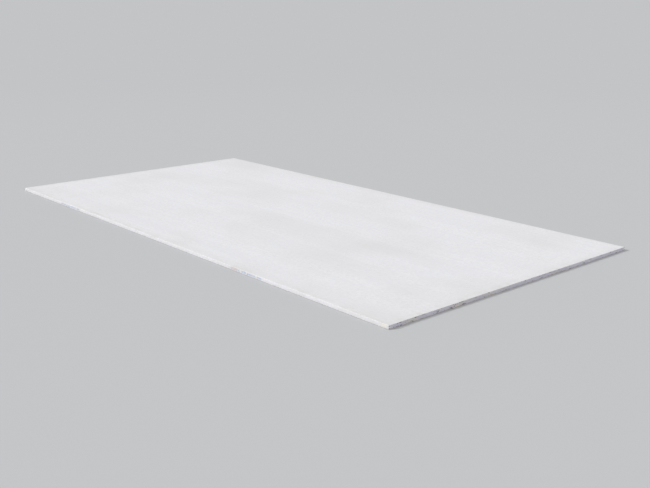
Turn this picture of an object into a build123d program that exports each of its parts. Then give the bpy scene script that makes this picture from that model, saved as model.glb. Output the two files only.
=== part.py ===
from build123d import *
import os

# One gypsum board, lying on its back. X runs along its length, Y across its width and
# Z up through its thickness, and the origin is the middle of its underside. Sizes in mm.
board_length = 2400.0
board_width = 1200.0
board_thickness = 12.5

# The face paper is creased, folded up each long edge and lapped on to the back. That
# gives the square edge its soft arrises, the tighter one where the paper turns under.
face_fold_radius = 1.6
back_fold_radius = 1.0

# The back liner is narrower than the board. It lies over the two laps and leaves a strip
# of each one bare, so the back is stepped by the liner's thickness along both long edges.
back_liner_thickness = 0.3
bare_lap_width = 12.0

# What follows from them.
back_liner_width = board_width - 2 * bare_lap_width
wrapped_thickness = board_thickness - back_liner_thickness
cut_end_plane = Plane.YZ.offset(-board_length / 2)

os.makedirs("parts", exist_ok=True)

# The board is made as an endless strip with one section and sawn square at both ends, so
# the section across its width is drawn on one cut end and carried along to the other.
with BuildPart() as drywall_sheet:
    with BuildSketch(cut_end_plane) as board_section:
        with Locations((0, back_liner_thickness)):
            Rectangle(board_width, wrapped_thickness, align=(Align.CENTER, Align.MIN))
        fillet(board_section.vertices().group_by(Axis.Y)[-1], face_fold_radius)
        fillet(board_section.vertices().group_by(Axis.Y)[0], back_fold_radius)
        Rectangle(back_liner_width, back_liner_thickness, align=(Align.CENTER, Align.MIN))
    extrude(amount=board_length)

drywall_sheet.part.label = "drywall_sheet"
export_step(drywall_sheet.part, "parts/drywall_sheet.step")
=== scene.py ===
import bpy
import numpy as np
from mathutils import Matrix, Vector


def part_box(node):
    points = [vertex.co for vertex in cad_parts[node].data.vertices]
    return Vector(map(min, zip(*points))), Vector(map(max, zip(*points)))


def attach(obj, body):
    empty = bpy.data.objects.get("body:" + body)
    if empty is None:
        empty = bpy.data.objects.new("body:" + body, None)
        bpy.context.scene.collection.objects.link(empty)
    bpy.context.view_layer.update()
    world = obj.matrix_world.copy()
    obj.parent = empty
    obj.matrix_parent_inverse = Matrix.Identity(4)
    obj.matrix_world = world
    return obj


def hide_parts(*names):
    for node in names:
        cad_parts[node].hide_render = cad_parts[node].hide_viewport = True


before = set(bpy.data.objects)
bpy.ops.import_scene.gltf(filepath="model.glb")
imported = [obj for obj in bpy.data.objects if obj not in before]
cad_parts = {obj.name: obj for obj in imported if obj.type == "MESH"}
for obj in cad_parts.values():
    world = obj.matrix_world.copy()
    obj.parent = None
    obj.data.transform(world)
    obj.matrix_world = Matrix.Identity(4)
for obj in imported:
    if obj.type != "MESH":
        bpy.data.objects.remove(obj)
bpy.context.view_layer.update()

# Dresses the board's solid. Its skin is one closed surface: the wrapped section carried
# along the length, and at each end a sawn face with real relief. All in metres.

mm = 0.001
hair = 0.01 * mm                               # what is nearer than this counts as in line
halfLength, halfWidth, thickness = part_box("drywall_sheet")[1]
boardSize = [round(side, 4) for side in (2 * halfLength, 2 * halfWidth, thickness)]
print("frame loaded, board of", boardSize)


def waves(along, lengths, seed, count=9, spread=0.15):
    # A sum of sines of random phase whose lengths run from the first of the two lengths
    # down to the second, each off by up to the spread, the longer ones the higher, and
    # mostly between -1 and 1.
    draw = np.random.default_rng(seed)
    steps = np.geomspace(*lengths, count) * draw.uniform(1 - spread, 1 + spread, count)
    phases = draw.uniform(0, 2 * np.pi, count)
    heights = np.sqrt(steps / steps.sum())
    return (heights * np.sin(along[..., None] / steps * 2 * np.pi + phases)).sum(-1)


def smoothStep(value, start, end):
    # 0 at start and before, 1 at end and after, with no corner at either.
    share = np.clip((value - start) / (end - start), 0, 1)
    return share * share * (3 - 2 * share)


def linearColour(hexCode):
    # sRGB hex to the linear values that shaders work in, by the standard's own curve.
    channels = np.array([int(hexCode[at:at + 2], 16) for at in (1, 3, 5)]) / 255
    linear = np.where(channels <= 0.04045, channels / 12.92, ((channels + 0.055) / 1.055) ** 2.4)
    return (*linear.tolist(), 1.0)


def addObject(name, data):
    # A new object in the scene, at the origin.
    thing = bpy.data.objects.new(name, data)
    bpy.context.scene.collection.objects.link(thing)
    return thing


def emptyTree(owner):
    # What holds the nodes of a material or of the world, emptied for new ones.
    owner.use_nodes = True
    owner.node_tree.nodes.clear()
    return owner.node_tree


def addNode(tree, kind, settings, inputs):
    # One node with its settings and links. An input is a plain value, one output of another
    # node, or that node itself, for the first output that it has in use.
    node = tree.nodes.new("ShaderNode" + kind)
    for name, value in settings.items():
        setattr(node, name, value)
    for name, value in inputs.items():
        if isinstance(value, bpy.types.Node):
            value = next(output for output in value.outputs if output.enabled)
        if isinstance(value, bpy.types.NodeSocket):
            tree.links.new(value, node.inputs[name])
        else:
            node.inputs[name].default_value = value
    return node


def startMaterial(name, look):
    # A new material with what its look lists laid out by name, and the point's place on the
    # piece. Each pattern is noise drawn out to the size of its lumps along X, Y and Z, in
    # millimetres, with its detail and roughness, and an attribute is read from the mesh.
    material = bpy.data.materials.new(name)
    tree = emptyTree(material)
    place = addNode(tree, "TexCoord", {}, {}).outputs["Object"]
    laid = {"place": place}
    for pattern, (size, detail, roughness) in look.get("patterns", {}).items():
        drawnOut = addNode(tree, "Mapping", {}, {"Vector": place, "Scale": 1 / (np.array(size) * mm)})
        laid[pattern] = addNode(tree, "TexNoise", {}, {
            "Vector": drawnOut, "Scale": 1.0, "Detail": detail, "Roughness": roughness})
    for attribute in look.get("attributes", ()):
        laid[attribute] = addNode(tree, "Attribute", {"attribute_name": attribute}, {}).outputs["Fac"]
    return material, tree, laid


def layTints(tree, look, laid):
    # The look's base colour with its tints over it, one after another. Each tint comes in
    # as its pattern goes from the first value to the second, up to its share.
    colour = linearColour(look["base"])
    for pattern, start, end, share, hexCode in look["tints"]:
        cover = addNode(tree, "MapRange", {}, {
            "Value": laid[pattern], "From Min": start, "From Max": end, "To Max": share})
        colour = addNode(tree, "Mix", {"data_type": "RGBA"}, {
            0: cover, 6: colour, 7: linearColour(hexCode)})     # the share, what is under, and the tint
    return colour


def finishMaterial(tree, look, laid, relief, roughness):
    # The surface: the tinted colour, the relief times its depth as bump, and the roughness.
    bump = addNode(tree, "Bump", {}, {"Height": relief, "Distance": look["reliefDepth"]})
    shader = addNode(tree, "BsdfPrincipled", {}, {
        "Base Color": layTints(tree, look, laid), "Normal": bump, "Roughness": roughness,
        "Specular IOR Level": look["specular"]})
    addNode(tree, "OutputMaterial", {}, {"Surface": shader})


linerPaper = dict(
    base="#eeeef1",
    patterns=dict(
        cloud=((10, 10, 10), 5.0, 0.60),       # the furnish clouds over 3 to 6 mm, drawn coarser to show
        streak=((1100, 16, 16), 4.0, 0.60),    # left by the calender, lengthways
        band=((2400, 150, 150), 2.0, 0.50),    # broader and fainter, left by the forming belt
        broad=((420, 300, 300), 2.0, 0.50),    # the slow drift of the tone over a sheet
        fleck=((1.3, 1.3, 1.3), 1.0, 0.50),    # specks are under 1 mm, drawn coarser to show
        fibre=((7, 0.7, 0.7), 2.0, 0.60),
        patch=((60, 25, 25), 4.0, 0.65),       # where smears and soiling have taken
        grain=((1.6, 0.9, 0.9), 3.0, 0.60),
    ),
    attributes=("worn",),
    tints=(
        ("cloud", 0.36, 0.66, 1.0, "#e4e4e8"),
        ("streak", 0.42, 0.66, 0.35, "#e2e2e6"),
        ("band", 0.42, 0.66, 0.5, "#e4e4e8"),
        ("fleck", 0.72, 0.78, 0.5, "#b5b0a8"),
        ("fibre", 0.68, 0.76, 0.7, "#b5b0a8"),
        ("broad", 0.45, 0.75, 0.3, "#d3d0cc"),
        ("soiling", 0.0, 1.0, 0.5, "#d3d0cc"),
        ("rustSmear", 0.0, 1.0, 0.4, "#e2bfa0"),
        ("yellowScuff", 0.0, 1.0, 0.6, "#ece4cc"),
    ),
    # Rubbed marks on the near long edge: the middle, and the reach each way. They fade from
    # smearCore, a share of that reach.
    smears=dict(
        rustSmear=((0.485, -halfWidth, 7 * mm), (35 * mm, 3 * mm, 9 * mm)),
        yellowScuff=((1.180, -halfWidth, 6 * mm), (17 * mm, 3 * mm, 12 * mm)),
    ),
    smearCore=0.33,
    mottle=(0.42, 0.66, 0.2),                  # the patches: where they set in, are full, and the least
    cloudRelief=2.4, reliefDepth=0.07 * mm,    # the clouds' share of the relief, to the grain's 1
    cloudRange=(0.3, 0.7),                     # what counts as a dense and as a loose part of the clouds
    roughness=(0.60, 0.72), specular=0.35,     # on the dense and on the loose parts
)


def makeLinerPaper():
    # Multi-ply recycled liner paper, calendered: near white and faintly cool, matt with a
    # low sheen. Its formation is cloudy, calender streaks run lengthways, a few darker
    # fibres lie in it, and handling has greyed it a little towards the edges. A smear is
    # an ellipsoid about its middle, full in its core.
    look = linerPaper
    material, tree, laid = startMaterial("calendered_white_liner_paper", look)
    setsIn, full, least = look["mottle"]
    mottle = addNode(tree, "MapRange", {}, {
        "Value": laid["patch"], "From Min": setsIn, "From Max": full, "To Min": least})
    laid["soiling"] = addNode(tree, "Math", {"operation": "MULTIPLY"}, {0: laid["worn"], 1: mottle})
    for name, (middle, reach) in look["smears"].items():
        scale = 1 / np.array(reach)
        fromMiddle = addNode(tree, "Mapping", {}, {
            "Vector": laid["place"], "Location": -np.array(middle) * scale, "Scale": scale})
        away = addNode(tree, "VectorMath", {"operation": "LENGTH"}, {0: fromMiddle})
        within = addNode(tree, "MapRange", {}, {
            "Value": away, "From Min": 1.0, "From Max": look["smearCore"]})
        laid[name] = addNode(tree, "Math", {"operation": "MULTIPLY"}, {0: within, 1: mottle})
    relief = addNode(tree, "Math", {"operation": "MULTIPLY_ADD"}, {
        0: laid["cloud"], 1: look["cloudRelief"], 2: laid["grain"]})
    (lowest, highest), (dense, loose) = look["cloudRange"], look["roughness"]
    sheen = addNode(tree, "MapRange", {}, {
        "Value": laid["cloud"], "From Min": lowest, "From Max": highest, "To Min": dense, "To Max": loose})
    finishMaterial(tree, look, laid, relief, sheen)
    return material


sawnGypsum = dict(
    # The lilac cast of the base and of the cool tint is painted: sky-lit shade on a grey-white core.
    base="#d6d5de",
    patterns=dict(
        cool=((500, 35, 9), 3.0, 0.60),        # the foam is denser in places; their lilac is painted sky-lit shade
        warm=((500, 130, 40), 2.0, 0.50),      # damp and dust tint the cut in long patches
        pore=((1.1, 1.1, 1.1), 2.0, 0.55),     # the foam's bubbles are under 1 mm, drawn a little coarser
        score=((500, 1.4, 30), 2.0, 0.50),     # the saw's teeth, top to bottom
    ),
    attributes=("hollowShade", "knocked"),
    tints=(
        ("cool", 0.36, 0.68, 1.0, "#c5c4d3"),
        ("warm", 0.52, 0.72, 0.8, "#d5cfc2"),
        ("knocked", 0.15, 1.0, 0.8, "#eeedeb"),
        # Painted shade: in the pores, and inside the holes where they are deep.
        ("pore", 0.60, 0.76, 0.75, "#96939a"),
        ("holeShade", 0.92, 1.14, 0.95, "#74717a"),
    ),
    raggedRims=1.2,                            # how far the pores eat into the rims of the holes' painted shade
    pitRange=(0.5, 0.75),                      # where a pore sets in, and where it is deepest
    scoreRelief=0.5, reliefDepth=0.2 * mm,     # the scores' share of the relief, to the pores' 1
    roughness=0.95, specular=0.2,
)


def makeSawnGypsum():
    # Foamed gypsum, sawn across: dull and chalky, grey white with a painted lilac cast of sky-lit
    # shade and a few warmer patches. Painted shade darkens its pores, its crumbled strip and the
    # inside of the larger holes, whose rims the pores make ragged. A knock shows it whiter.
    look = sawnGypsum
    material, tree, laid = startMaterial("sawn_foamed_gypsum", look)
    # The holes' painted shade: their depth, with the pores added so that its rim is ragged.
    laid["holeShade"] = addNode(tree, "Math", {"operation": "MULTIPLY_ADD"}, {
        0: laid["pore"], 1: look["raggedRims"], 2: laid["hollowShade"]})
    setsIn, deepest = look["pitRange"]
    pitted = addNode(tree, "MapRange", {}, {
        "Value": laid["pore"], "From Min": setsIn, "From Max": deepest, "To Max": -1.0})
    relief = addNode(tree, "Math", {"operation": "MULTIPLY_ADD"}, {
        0: laid["score"], 1: look["scoreRelief"], 2: pitted})
    finishMaterial(tree, look, laid, relief, look["roughness"])
    return material


backPaper = dict(
    base="#b9ae9c",
    patterns=dict(
        cloud=((22, 14, 14), 4.0, 0.60),
        fleck=((5, 1.5, 1.5), 2.0, 0.60),      # scraps of printed waste, up to 5 mm long
        paleFibre=((1.8, 5, 1.8), 2.0, 0.60),
        nap=((1, 1, 1), 4.0, 0.65),
    ),
    tints=(
        ("cloud", 0.35, 0.65, 1.0, "#a9a195"),
        ("fleck", 0.66, 0.74, 0.8, "#7d766b"),
        ("paleFibre", 0.64, 0.74, 0.6, "#cdc4b4"),
    ),
    reliefDepth=0.1 * mm, roughness=0.88, specular=0.2,
)


def makeBackPaper():
    # Unbleached recycled liner paper, uncalendered: grey buff, matt and slightly napped,
    # with flecks of printed waste and pale fibres.
    look = backPaper
    material, tree, laid = startMaterial("recycled_grey_back_liner_paper", look)
    finishMaterial(tree, look, laid, laid["nap"], look["roughness"])
    return material


cutPaper = dict(
    base="#c4bdb1",
    patterns=dict(
        dust=((9, 9, 2), 4.0, 0.65),
        fuzz=((0.6, 0.6, 0.6), 3.0, 0.60),
    ),
    tints=(("dust", 0.40, 0.66, 1.0, "#9f978b"),),
    reliefDepth=0.08 * mm, roughness=0.92, specular=0.15,
)


def makeCutPaper():
    # Liner paper seen where the saw has torn through its plies: greyer than its face, fuzzy
    # and quite matt, darker where dust has lodged in it.
    look = cutPaper
    material, tree, laid = startMaterial("sawn_paper_edge", look)
    finishMaterial(tree, look, laid, laid["fuzz"], look["roughness"])
    return material


boardMaterials = [makeLinerPaper(), makeSawnGypsum(), makeBackPaper(), makeCutPaper()]
onFace, onGypsum, onBack, onCutPaper = range(len(boardMaterials))
print("board materials made:", len(boardMaterials))


boardSkin = dict(
    # The section, sized as the solid is, with the paper's own thickness and the whole
    # width of the lap that it makes on the back.
    faceFold=1.6 * mm, backFold=1.0 * mm, backLiner=0.3 * mm, bareLap=12 * mm,
    paper=0.34 * mm, lap=25 * mm,
    stepRun=0.03 * mm, leastGap=0.2 * mm,      # of the liner's nearly upright edge, and beside it
    lapRun=0.8 * mm, backReach=1.6 * mm, backRun=1.2 * mm,  # the gypsum's slope down past the lap
    # Forming: a low cockle in the face that dies out near its edges, and the wander of the
    # long edges and of the saw's line. Each pair is the longest and shortest wave, and the
    # cockle's two waves run a little askew to the board. A wander dies out inwards by its
    # power, and the two cuts' wanders are taken far apart, so that they differ.
    cockle=0.16 * mm, cockleLengths=(1.1, 0.3), cockleSkew=(0.35, -0.2), cockleFade=70 * mm,
    edgeWander=0.18 * mm, edgeLengths=(1.3, 0.2), edgePower=13,
    sawWander=0.30 * mm, sawLengths=(0.8, 0.12), sawPower=61, sawsApart=3,
    # Corners knocked in handling: the side along X and along Y, the depth and the reach.
    # knockPush is how that depth is shared inwards along X and Y, and upwards.
    knocks=((1, -1, 2.4 * mm, 15 * mm), (1, 1, 1.2 * mm, 11 * mm),
            (-1, -1, 1.5 * mm, 12 * mm), (-1, 1, 0.9 * mm, 10 * mm)),
    knockPush=(0.8, 0.6, 0.22), crumple=0.6, crumpleLengths=(9 * mm, 3 * mm),
    soilReach=45 * mm,                         # how far in from the edges hands have soiled it
    seeds=dict(cockle=(11, 12), edges=13, saw=14, crumple=15),  # of the waves above
    # The sawn ends: the cut lies in from the solid's end, the paper's torn edge stands out
    # of it, and the gypsum lies behind that and has crumbled beside the paper. Both follow
    # ragged lines: paperRun is how far ahead the face paper's is read, and how many times
    # faster it is read up an edge. Each end's draws have seeds counted from its own.
    cutInset=0.3 * mm, endSeeds=(31, 57), paperRun=(7, 4),
    tornOut=(0.05 * mm, 0.38 * mm),
    torn=dict(lengths=(40 * mm, 1.6 * mm), middle=0.5, swing=0.5, most=1.3),
    setBack=0.22 * mm, crumble=0.9 * mm, crumbleFade=(1.5 * mm, 0.5 * mm),
    crumbs=dict(lengths=(60 * mm, 1.8 * mm), middle=0.15, swing=0.9, most=1.0),
    score=0.06 * mm, scoreLengths=(6 * mm, 1.7 * mm), grain=0.03 * mm,
    fullShadeDepth=1.2 * mm, crumbleShadeShare=0.5,          # how deep a hole is in full painted shade, and the crumbs' share of it
    # Holes in the gypsum: how many, and the half widths of the common and of the long
    # ones. They gather about some places and lie a little below one of the papers. Their
    # rims are ragged by waves that slant across the cut, with one of rimSeeds seeds, and
    # stay within rimReach half widths. With bowlPower under 1 their sides are steep and
    # their floors flat.
    holes=((105, 0.7 * mm, 2.2 * mm), (32, 2.8 * mm, 8.5 * mm)),
    holeHalfHeight=(0.6 * mm, 1.6 * mm), holeDepth=(0.5 * mm, 2.0 * mm), bowlPower=0.6,
    holeRagged=0.28, holeLengths=(3.4 * mm, 1.3 * mm), holeSlant=1.3, rimSeeds=99, rimReach=2,
    holeClusters=11, clusterSpread=38 * mm, clusteredShare=0.55,
    underPaper=(1.1 * mm, 1.5 * mm), upperShare=0.55,
    # The mesh: the cut's first lines in from its outline, how many bands between them are
    # paper, the size of its cells beyond them, the share of a cell by which its points
    # stray and where that sets in, and the coarser run between the ends with the rings that
    # lead to it, the second of which keeps one in middlingStep of the outline's points.
    endInsets=np.array([0, 0.34, 0.40, 0.80, 1.6]) * mm, paperBands=2, endCell=(0.70 * mm, 0.80 * mm),
    stray=0.33, strayFrom=(0.5 * mm, 1.6 * mm),
    endRings=np.array([0.9, 3, 7]) * mm, middlingStep=4, rows=100, faceColumns=81, backColumns=31,
    fineAtFold=2.5 * mm, fineAtStep=0.8 * mm,  # where the coarser run keeps the outline's every point
    # The texture map: the heights at which the back, the far edge, the face and the near
    # edge follow each other, where each sawn end's halves start, and how tall they are.
    mapHeights=(0.002, 0.24, 0.285, 0.785, 0.83),
    mapEnds=((0.835, 0.876), (0.917, 0.958)), mapEndHeight=0.037, mapMargin=0.002,
)


def settle(points):
    # Moves points of the exact board to where the handled one has them. The face gets a
    # long low cockle that is nothing at the back, edges and ends wander a little, and each
    # knocked corner is pushed in along its diagonal, most at its tip, and swells upwards.
    skin, seeds = boardSkin, boardSkin["seeds"]
    x, y, z = points.T
    up = z / thickness
    inFromEdge = np.minimum(halfWidth - abs(y), halfLength - abs(x))
    lengths, (skewX, skewY), (seedX, seedY) = skin["cockleLengths"], skin["cockleSkew"], seeds["cockle"]
    cockle = (waves(x + skewX * y, lengths, seedX) + waves(y + skewY * x, lengths, seedY)) / 2
    rise = skin["cockle"] * cockle * up * smoothStep(inFromEdge, 0, skin["cockleFade"])
    edgeLine = waves(x, skin["edgeLengths"], seeds["edges"]) * (y / halfWidth) ** skin["edgePower"]
    sawRun = y + skin["sawsApart"] * np.sign(x)
    sawLine = waves(sawRun, skin["sawLengths"], seeds["saw"]) * (x / halfLength) ** skin["sawPower"]
    moved = np.stack([x + skin["sawWander"] * sawLine, y + skin["edgeWander"] * edgeLine, z + rise], 1)
    inX, inY, upZ = skin["knockPush"]
    for endSide, edgeSide, depth, reach in skin["knocks"]:
        away = np.hypot(x - endSide * halfLength, y - edgeSide * halfWidth)
        push = depth * (1 - np.clip(away / reach, 0, 1)) ** 2
        crumpled = 1 + skin["crumple"] * waves(away + y, skin["crumpleLengths"], seeds["crumple"])
        moved += push[:, None] * np.stack([
            np.full_like(x, -inX * endSide), np.full_like(x, -inY * edgeSide), upZ * up * crumpled], 1)
    return moved


def makePiece(name, points, faces, materials, faceMaterials=0, sharpAngle=38):
    # A mesh object at the origin, its points already in their place. Edges sharper than
    # the angle, in degrees, stay sharp.
    mesh = bpy.data.meshes.new(name)
    mesh.from_pydata(points.tolist(), [], [face for part in faces for face in part.tolist()])
    for material in materials:
        mesh.materials.append(material)
    slots = np.broadcast_to(faceMaterials, len(mesh.polygons)).astype(np.int32)
    mesh.polygons.foreach_set("material_index", slots)
    mesh.shade_smooth()
    mesh.set_sharp_from_angle(angle=np.radians(sharpAngle))
    return addObject(name, mesh)


def roundCorners(side, end, radius):
    # side and end are how far a point lies in from the two straight sides of a square
    # corner. Each line that runs at one depth in from both becomes an arc at that depth in
    # from the rounded corner, with the points' order and share along it kept.
    depth, along = np.minimum(side, end), np.maximum(side, end)
    within = along < radius
    reach = np.where(within, radius - depth, 1.0)
    share = np.where(within, (along - depth) / reach, 1.0)
    angle = np.pi / 4 * np.where(side <= end, 1 - share, 1 + share)
    return (np.where(within, radius - reach * np.cos(angle), side),
            np.where(within, radius - reach * np.sin(angle), end))


def gridLines(low, high, cell):
    # Positions from low to high: the insets from each end, and between them even steps.
    insets = boardSkin["endInsets"]
    first, last = low + insets[-1], high - insets[-1]
    between = np.linspace(first, last, int((last - first) / cell) + 1)
    return np.concatenate([low + insets[:-1], between, high - insets[-2::-1]])


def sectionGrid():
    # The board's section as a grid of rows and columns: y and z of each point, and how far
    # it lies in from the outline. The first lines follow the outline round its folds.
    skin = boardSkin
    liner = skin["backLiner"]
    linerEdge, lapEdge = halfWidth - skin["bareLap"], halfWidth - skin["lap"]
    stepColumns = np.array([linerEdge, linerEdge + skin["stepRun"]])
    columns = gridLines(-halfWidth, halfWidth, skin["endCell"][0])
    clear = abs(abs(columns)[:, None] - stepColumns).min(1) > skin["leastGap"]
    columns = np.sort(np.concatenate([columns[clear], stepColumns, -stepColumns]))
    y, z = np.meshgrid(columns, gridLines(liner, thickness, skin["endCell"][1]))
    fromSide = halfWidth - abs(y)
    upper = z > thickness / 2
    fromEnd = np.where(upper, thickness - z, z - liner)
    inset = np.minimum(fromSide, fromEnd)
    side, end = roundCorners(fromSide, fromEnd, np.where(upper, skin["faceFold"], skin["backFold"]))
    y = np.sign(y) * (halfWidth - side)
    z = np.where(upper, thickness - end, liner + end)
    # Under the board, the back liner's outer face is lower than the bare laps, and the
    # gypsum comes down to it where the laps have ended.
    z[0] -= liner * (abs(columns) <= linerEdge)
    pastLap = 1 - smoothStep(abs(y), lapEdge - skin["lapRun"], lapEdge + skin["lapRun"])
    nearBack = np.clip((skin["backReach"] - fromEnd) / skin["backRun"], 0, 1) * (fromEnd > 0) * ~upper
    return y, z - liner * pastLap * nearBack, inset


def strayed(y, z, inset, seed):
    # The cut's grid with each inner point moved at random, by a share of the room that its
    # neighbours leave it. So no hole shows the grid's lines. The outline and paper stay.
    skin, draw = boardSkin, np.random.default_rng(seed)
    share = skin["stray"] * smoothStep(inset, *skin["strayFrom"])
    moved = []
    for positions, axis in ((y, 1), (z, 0)):
        gaps = np.diff(positions, axis=axis)
        room = np.minimum(np.insert(gaps, 0, 0, axis), np.insert(gaps, gaps.shape[axis], 0, axis))
        moved.append(positions + share * room * draw.uniform(-1, 1, positions.shape))
    return moved


def openedHoles(y, z, draw):
    # How deep each point lies in the holes that the saw opened in the foam. Each hole is
    # half an ellipsoid with a ragged rim, and the deepest of those at a point counts.
    skin, rimSeed = boardSkin, draw.integers(boardSkin["rimSeeds"])
    ragged = skin["holeRagged"] * waves(skin["holeSlant"] * y + z, skin["holeLengths"], rimSeed)
    deep = np.zeros_like(y)
    clusters = draw.uniform(-halfWidth, halfWidth, skin["holeClusters"])
    for count, narrowest, widest in skin["holes"]:
        gathered = draw.choice(clusters, count) + draw.normal(0, skin["clusterSpread"], count)
        scattered = draw.uniform(-halfWidth, halfWidth, count)
        middles = np.where(draw.random(count) < skin["clusteredShare"], gathered, scattered)
        nearest, beyond = skin["underPaper"]
        under = np.minimum(nearest + draw.exponential(beyond, count), thickness / 2)
        heights = np.where(draw.random(count) < skin["upperShare"], thickness - under, under)
        widths = draw.uniform(narrowest, widest, count)
        talls = draw.uniform(*skin["holeHalfHeight"], count)
        depths = draw.uniform(*skin["holeDepth"], count)
        for middle, height, wide, tall, depth in zip(middles, heights, widths, talls, depths):
            reached = np.flatnonzero(abs(y[0] - middle) < skin["rimReach"] * wide)
            if len(reached) == 0:
                continue
            part = np.s_[:, reached[0]:reached[-1] + 1]
            away = ((y[part] - middle) / wide) ** 2 + ((z[part] - height) / tall) ** 2
            bowl = np.clip(1 - away * (1 + ragged[part]), 0, 1) ** skin["bowlPower"]
            deep[part] = np.maximum(deep[part], depth * bowl)
    return deep


def raggedLine(run, seed, lengths, middle, swing, most, count=14):
    # A line that goes up and down about its middle by a sum of waves, from 0 to the most.
    return np.clip(middle + swing * waves(run, lengths, seed, count), 0, most)


def sawnRelief(y, z, inset, seed):
    # How far each point of a sawn end stands out from the cut, and how hollow it is
    # there, which sets its painted shade.
    # The torn paper stands proud. The gypsum lies back from it, less a ragged line of
    # crumbs beside the paper, the marks of the teeth, grain and holes.
    skin, draw = boardSkin, np.random.default_rng(seed)
    papersApart, upFold = skin["paperRun"]
    run = y + papersApart * (z > thickness / 2) + upFold * z
    least, most = skin["tornOut"]
    paper = least + (most - least) * raggedLine(run, seed + 1, **skin["torn"])
    crumbs = raggedLine(run, seed + 2, **skin["crumbs"])
    loss = skin["crumble"] * crumbs * smoothStep(inset, *skin["crumbleFade"])
    scored = skin["score"] * waves(y, skin["scoreLengths"], seed + 3)
    grain = skin["grain"] * draw.normal(0, 1, y.shape)
    holes = openedHoles(y, z, draw)
    gypsum = scored + grain - skin["setBack"] - loss - holes
    # How much painted shade each point takes: from its hole's depth and a share of the crumbled loss, full
    # at a set depth.
    hollowShade = np.clip((holes + skin["crumbleShadeShare"] * loss) / skin["fullShadeDepth"], 0, 1)
    onPaper = inset < skin["paper"] + hair
    return np.where(onPaper, paper, gypsum), np.where(onPaper, 0, hollowShade)


def loopOf(grid):
    # Once round a grid's border: the first row, up the last column, and back.
    return np.concatenate([grid[0, :-1], grid[:-1, -1], grid[-1, :0:-1], grid[:0:-1, 0]])


def blendedSpacing(half, count, evenShare=0.12):
    # Positions from -half to half, wide apart in the middle and close at both ends: a
    # share of even steps, and for the rest the sine of a quarter turn each way.
    run = np.linspace(-1, 1, count)
    return half * (evenShare * run + (1 - evenShare) * np.sin(run * np.pi / 2))


def ringMembers(outlineY, outlineZ):
    # Which of the outline's points each ring keeps. A coarse ring has all of them round the
    # folds and at the liner's step, and elsewhere those nearest to a blended spacing. The
    # first and last two rings lead from the sawn ends' fine outline to that.
    skin = boardSkin
    nearFold = abs(outlineY) > halfWidth - skin["fineAtFold"]
    linerEdge = halfWidth - skin["bareLap"]
    nearStep = (abs(linerEdge - abs(outlineY)) < skin["fineAtStep"]) & (outlineZ < thickness / 2)
    kept = [np.flatnonzero(nearFold | nearStep)]
    for onTop, count in ((True, skin["faceColumns"]), (False, skin["backColumns"])):
        run = np.flatnonzero((outlineZ > thickness / 2) == onTop)
        wanted = blendedSpacing(halfWidth, count)
        kept.append(run[abs(outlineY[run][:, None] - wanted).argmin(0)])
    coarse = np.unique(np.concatenate(kept))
    fine = np.arange(len(outlineY))
    middling = np.union1d(coarse, fine[::skin["middlingStep"]])
    return [fine, middling] + [coarse] * skin["rows"] + [middling, fine]


def stitchRings(firstAt, nextAt):
    # Faces between two closed rings, as places in the two arrays laid end to end. The
    # arrays say where the rings' points are on the way round, and each ends with its start
    # again. Where they don't match in number, each side takes its next step when the other
    # has come as far as the middle of it.
    first, following = np.arange(len(firstAt)), len(firstAt) + np.arange(len(nextAt))
    if len(firstAt) == len(nextAt):
        return np.stack([first[:-1], first[1:], following[1:], following[:-1]], 1)
    firstMiddles, nextMiddles = (firstAt[1:] + firstAt[:-1]) / 2, (nextAt[1:] + nextAt[:-1]) / 2
    facing = following[np.searchsorted(nextMiddles, firstMiddles, "left")]
    behind = first[np.searchsorted(firstMiddles, nextMiddles, "right")]
    return np.concatenate([np.stack([first[:-1], first[1:], facing], 1),
                           np.stack([behind, following[1:], following[:-1]], 1)])


def makeSawnEnd(section, seed, direction, mapStarts):
    # One sawn end, facing along X in the direction: the section's grid with its inner
    # points astray, each standing out of the cut by its relief. Gives its points, how
    # hollow they are, the faces, their materials, and their corners on the texture map,
    # where each half of the end has its own start.
    skin, (y, z, inset) = boardSkin, section
    endY, endZ = strayed(y, z, inset, seed + 9)
    relief, hollowShade = sawnRelief(endY, endZ, inset, seed)
    endX = direction * (halfLength - skin["cutInset"] + relief)
    points = np.stack([endX, endY, endZ], -1).reshape(-1, 3)

    ids = np.arange(y.size).reshape(y.shape)
    faces = np.stack([ids[:-1, :-1], ids[:-1, 1:], ids[1:, 1:], ids[1:, :-1]], -1)
    faces = faces.reshape(-1, 4)[:, ::direction]
    upward, across = np.arange(y.shape[0] - 1)[:, None], np.arange(y.shape[1] - 1)
    bandsIn = np.minimum(np.minimum(across, across[::-1]), np.minimum(upward, upward[::-1]))
    faceMaterials = np.where(bandsIn < skin["paperBands"], onCutPaper, onGypsum).ravel()

    faceY, faceZ = y.ravel()[faces], z.ravel()[faces]
    half = (faceY.mean(1) > 0).astype(int)[:, None]
    mapUp = np.array(mapStarts)[half] + skin["mapEndHeight"] * faceZ / thickness
    mapAt = np.stack([faceY / halfWidth + 1 - half, mapUp], -1).reshape(-1, 2)
    return points, hollowShade.ravel(), faces, faceMaterials, mapAt


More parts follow.
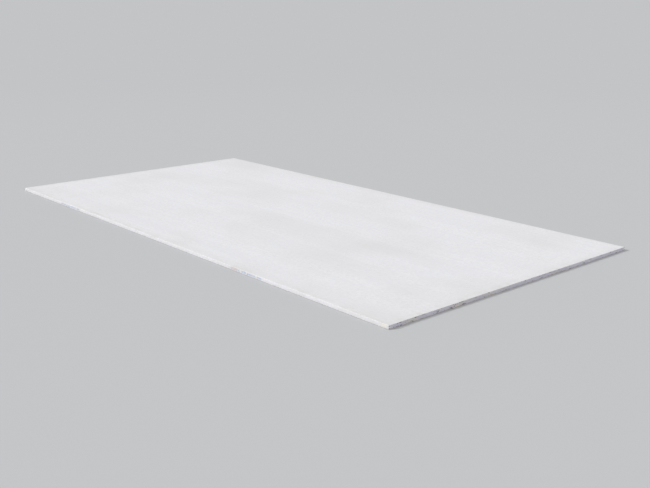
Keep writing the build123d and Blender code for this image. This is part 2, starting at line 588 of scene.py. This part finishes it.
def makeWrappedRun(section, endPoints):
    # The wrapped outline carried along the length, as closed rings from the border of one
    # sawn end to that of the other. Gives all the points, the ends' own first, the faces,
    # their materials, and their corners on the texture map: along by the place in the
    # length, and up by how far round the outline it is.
    skin, (y, z) = boardSkin, section[:2]
    outlineY, outlineZ = loopOf(y), loopOf(z)
    border = loopOf(np.arange(y.size).reshape(y.shape))
    near = halfLength - skin["cutInset"] - skin["endRings"]
    stations = np.concatenate([-near[:-1], blendedSpacing(near[-1], skin["rows"]), near[-2::-1]])
    members = ringMembers(outlineY, outlineZ)
    points, made = [endPoints], len(endPoints)
    rings = [(border, members[0])]
    for station, member in zip(stations, members):
        points.append(np.stack([np.full(len(member), station), outlineY[member], outlineZ[member]], 1))
        rings.append((made + np.arange(len(member)), member))
        made += len(member)
    rings.append((border + y.size, members[-1]))
    points = np.concatenate(points)

    closedY, closedZ = np.append(outlineY, outlineY[0]), np.append(outlineZ, outlineZ[0])
    arc = np.append(0, np.cumsum(np.hypot(np.diff(closedY), np.diff(closedZ))))
    gridRows, gridColumns = y.shape
    sideEnds = np.cumsum([0, gridColumns - 1, gridRows - 1, gridColumns - 1, gridRows - 1])
    mapRound = np.interp(arc, arc[sideEnds], skin["mapHeights"])

    faces, faceMaterials, mapAt = [], [], []
    closed = [(np.append(ids, ids[0]), np.append(member, len(border))) for ids, member in rings]
    for (firstIds, firstAt), (nextIds, nextAt) in zip(closed[:-1], closed[1:]):
        stitched = stitchRings(firstAt, nextAt)
        strip = np.append(firstIds, nextIds)[stitched]
        faces.append(strip)
        along = (points[strip, 0] / halfLength + 1) / 2
        mapAt.append(np.stack([along, mapRound[np.append(firstAt, nextAt)[stitched]]], -1).reshape(-1, 2))
        heights = points[strip, 2]
        onLiner, onStep = heights.max(1) < hair, heights.min(1) < hair
        faceMaterials.append(np.where(onLiner, onBack, np.where(onStep, onCutPaper, onFace)))
    return points, faces, faceMaterials, mapAt


def makeBoardSkin():
    # The two sawn ends and the wrapped run between them as one closed mesh, with its own
    # texture map. Its materials read from its points how hollow they are, for painted shade,
    # how near to a knocked corner, and how near to an edge, where the board is handled.
    skin, section = boardSkin, sectionGrid()
    ends = [makeSawnEnd(section, *end) for end in zip(skin["endSeeds"], (-1, 1), skin["mapEnds"])]
    endPoints, endHollows, endFaces, endMaterials, endMaps = zip(*ends)
    points, runFaces, runMaterials, runMaps = makeWrappedRun(section, np.concatenate(endPoints))
    faces = [endFaces[0], endFaces[1] + len(endPoints[0]), *runFaces]
    faceMaterials = np.concatenate([*endMaterials, *runMaterials])
    piece = makePiece("board_skin", settle(points), faces, boardMaterials, faceMaterials)

    mapAt = np.concatenate([*endMaps, *runMaps])
    mapAt[:, 0] = skin["mapMargin"] + (1 - 2 * skin["mapMargin"]) * mapAt[:, 0]
    bakeMap = piece.data.uv_layers.new(name="OFBake")  # the map's name when textures are baked
    bakeMap.uv.foreach_set("vector", mapAt.astype(np.float32).ravel())

    hollowShade = np.concatenate(endHollows)
    x, y = points[:, :2].T
    toCorner = [np.hypot(x - endSide * halfLength, y - edgeSide * halfWidth) / reach
                for endSide, edgeSide, _, reach in skin["knocks"]]
    inFromEdge = np.minimum(halfLength - abs(x), halfWidth - abs(y))
    attributes = dict(
        hollowShade=np.append(hollowShade, np.zeros(len(points) - len(hollowShade))),
        knocked=1 - np.clip(np.min(toCorner, 0), 0, 1),
        worn=1 - np.clip(inFromEdge / skin["soilReach"], 0, 1),
    )
    for name, values in attributes.items():
        layer = piece.data.attributes.new(name, "FLOAT", "POINT")
        layer.data.foreach_set("value", values.astype(np.float32))
    return piece


skinPiece = makeBoardSkin()
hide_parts("drywall_sheet")
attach(skinPiece, "root")
print("board skin made:", len(skinPiece.data.polygons), "faces")


inkMarks = dict(
    base="#5f84b8",
    patterns=dict(
        faded=((14, 14, 4), 3.0, 0.60),
        grain=((1.6, 0.9, 0.9), 3.0, 0.60),    # the paper's own
    ),
    tints=(("faded", 0.35, 0.65, 1.0, "#8badd3"),),
    reliefDepth=0.07 * mm, roughness=0.8, specular=0.2,
    starts=(-0.816, 0.455),                    # where each strip begins along the edge
    columnPitch=1.2 * mm, rowPitch=0.98 * mm, rows=7, middleHeight=6.3 * mm,
    dotRadius=0.40 * mm, dotSizes=(0.8, 1.15), dotSides=6,
    jitter=(0.08 * mm, 0.06 * mm),             # of the spray along and up the edge
    # One strip from its start: each run's length in millimetres, how many of its places
    # have a dot, and the lowest share of a column that is filled.
    runs=((52, 0.55, 1.0), (7, 0.0, 0.0), (28, 0.9, 0.5), (4, 0.0, 0.0), (46, 0.9, 0.5),
          (9, 0.0, 0.0), (24, 0.9, 0.4), (16, 0.12, 0.2)),
    fromHead=0.5, seed=5,                      # how many columns are filled from their heads
    stands=0.05 * mm, sinks=0.08 * mm,         # out of the paper and into it
)


def makeInk():
    # Dye ink sprayed in dots on uncoated paper: dull blue, soaked in and matt, so it has
    # the paper's grain, and faded unevenly by the sun.
    look = inkMarks
    material, tree, laid = startMaterial("sprayed_dye_ink", look)
    finishMaterial(tree, look, laid, laid["grain"], look["roughness"])
    return material


def makeInkMarks():
    # Dots on a grid of columns and rows, each column filled from its foot or its head up to
    # a random height. A dot is a flat disc whose foot is in the paper: its rim's corners
    # out in front, and the same ones behind.
    marks, draw = inkMarks, np.random.default_rng(inkMarks["seed"])
    rows, sides = marks["rows"], marks["dotSides"]
    columns, filled = [], []
    for start in marks["starts"]:
        for length, density, lowest in marks["runs"]:
            count = int(length * mm / marks["columnPitch"])
            heights = rows * draw.uniform(lowest, 1.0, count)[:, None]
            fromHead = draw.random(count)[:, None] < marks["fromHead"]
            rowsIn = np.where(fromHead, np.arange(rows)[::-1], np.arange(rows))
            columns.append(start + np.arange(count) * marks["columnPitch"])
            filled.append((rowsIn < heights) & (draw.random((count, rows)) < density))
            start += length * mm
    column, row = np.nonzero(np.concatenate(filled))
    count = len(column)
    alongJitter, upJitter = marks["jitter"]
    middleX = np.concatenate(columns)[column] + draw.normal(0, alongJitter, count)
    rowHeight = marks["middleHeight"] + (row - (rows - 1) / 2) * marks["rowPitch"]
    middleZ = rowHeight + draw.normal(0, upJitter, count)
    radius = marks["dotRadius"] * draw.uniform(*marks["dotSizes"], count)
    turn = np.arange(sides) * 2 * np.pi / sides
    rimX = middleX[:, None] + radius[:, None] * np.cos(turn)
    rimZ = middleZ[:, None] + radius[:, None] * np.sin(turn)
    front = np.stack([rimX, np.full_like(rimX, -halfWidth), rimZ], -1)
    points = settle(np.stack([front, front], 1).reshape(-1, 3))
    points[:, 1] += np.tile(np.repeat([-marks["stands"], marks["sinks"]], sides), count)
    first = np.arange(count)[:, None] * 2 * sides
    rim = np.arange(sides)
    after = np.roll(rim, -1)
    around = np.stack([rim, rim + sides, after + sides, after], 1)
    faces = [first + rim, first + rim[::-1] + sides, (first[:, :, None] + around).reshape(-1, 4)]
    return makePiece("edge_ink_marks", points, faces, [makeInk()])


inkPiece = makeInkMarks()
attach(inkPiece, "root")
print("ink marks made:", len(inkPiece.data.polygons), "faces")


studio = dict(
    floorTone="#c4c5c7", backTone="#c3c4c6",   # the backdrop matches the lit floor
    floorInner=0.5, floorOuter=40.0, floorRings=24, floorSides=64, floorDrop=0.2 * mm,
    fadeStart=2.2, fadeEnd=6.5,                # from the middle of the board
    # Each lamp's direction, from the board to it, its strength and its angle in degrees.
    suns=dict(key=((-0.55, -0.75, 0.62), 1.95, 16), fill=((0.9, -0.35, 0.55), 0.45, 70)),
    skyTone="#ffffff", skyStrength=0.59,
)


def seenDirectly(tree):
    # 1 for rays that see the backdrop itself, and 0 for those that only carry light.
    path = addNode(tree, "LightPath", {}, {}).outputs
    seen = addNode(tree, "Math", {"operation": "ADD"}, {0: path["Is Camera Ray"], 1: path["Is Glossy Ray"]})
    return addNode(tree, "Math", {"operation": "ADD", "use_clamp": True}, {
        0: seen, 1: path["Is Transmission Ray"]})


def makeStudioFloor():
    # A round plain floor: rings of points at distances that grow by one ratio. Seen from
    # far it turns evenly into the backdrop's tone, so that it has no edge.
    ringCount, sides = studio["floorRings"], studio["floorSides"]
    radii = np.geomspace(studio["floorInner"], studio["floorOuter"], ringCount)[:, None]
    turn = np.linspace(0, 2 * np.pi, sides, endpoint=False)
    rings = np.stack([radii * np.cos(turn), radii * np.sin(turn), np.zeros((ringCount, sides))], -1)
    points = np.concatenate([[[0, 0, 0]], rings.reshape(-1, 3)]) - [0, 0, studio["floorDrop"]]
    ids = 1 + np.arange(ringCount * sides).reshape(ringCount, sides)
    after = np.roll(ids, -1, 1)
    hub = np.stack([np.zeros(sides, int), ids[0], after[0]], 1)
    bands = np.stack([ids[:-1], ids[1:], after[1:], after[:-1]], -1).reshape(-1, 4)
    material, tree, laid = startMaterial("studio_floor", studio)
    distance = addNode(tree, "VectorMath", {"operation": "LENGTH"}, {0: laid["place"]})
    fade = addNode(tree, "MapRange", {"interpolation_type": "SMOOTHSTEP"}, {
        "Value": distance, "From Min": studio["fadeStart"], "From Max": studio["fadeEnd"]})
    share = addNode(tree, "Math", {"operation": "MULTIPLY"}, {0: fade, 1: seenDirectly(tree)})
    matt = addNode(tree, "BsdfDiffuse", {}, {"Color": linearColour(studio["floorTone"])})
    glow = addNode(tree, "Emission", {}, {"Color": linearColour(studio["backTone"])})
    surface = addNode(tree, "MixShader", {}, {0: share, 1: matt, 2: glow})
    addNode(tree, "OutputMaterial", {}, {"Surface": surface})
    return makePiece("studio_floor", points, [hub, bands], [material])


def makeWorld():
    # An even white sky gives the light, and the backdrop's tone is what the camera sees.
    world = bpy.data.worlds.new("studio_world")
    bpy.context.scene.world = world
    tree = emptyTree(world)
    skyTone, backTone = linearColour(studio["skyTone"]), linearColour(studio["backTone"])
    sky = addNode(tree, "Background", {}, {"Color": skyTone, "Strength": studio["skyStrength"]})
    backdrop = addNode(tree, "Background", {}, {"Color": backTone})
    shown = addNode(tree, "MixShader", {}, {0: seenDirectly(tree), 1: sky, 2: backdrop})
    addNode(tree, "OutputWorld", {}, {"Surface": shown})


def turnFor(direction):
    # The turn that points an object's own Z along a direction, with its Y upwards. Lamps
    # and cameras look the other way, down their own Z.
    return Vector(direction).to_track_quat("Z", "Y").to_euler()


def makeSuns():
    # Soft sun lamps: the wider a lamp's angle, the softer its shadow.
    for name, (direction, strength, angle) in studio["suns"].items():
        lamp = bpy.data.lights.new(name, "SUN")
        lamp.energy, lamp.angle = strength, np.radians(angle)
        addObject(name, lamp).rotation_euler = turnFor(direction)


# The photograph's own camera place and lens, turned down to the board where it lies.
viewpoint = dict(place=(2.818, -2.250, 0.890), aim=(0.426, -0.155, 0.0), lens=49.6)


def makeCamera():
    # The camera at its place, looking at what it aims at.
    lensData = bpy.data.cameras.new("camera")
    lensData.lens = viewpoint["lens"]
    camera = addObject("camera", lensData)
    camera.location = viewpoint["place"]
    camera.rotation_euler = turnFor(Vector(viewpoint["place"]) - Vector(viewpoint["aim"]))
    return camera


makeStudioFloor()
makeWorld()
makeSuns()
bpy.context.scene.camera = makeCamera()
bpy.context.scene.view_settings.view_transform = "Standard"
print("studio made")
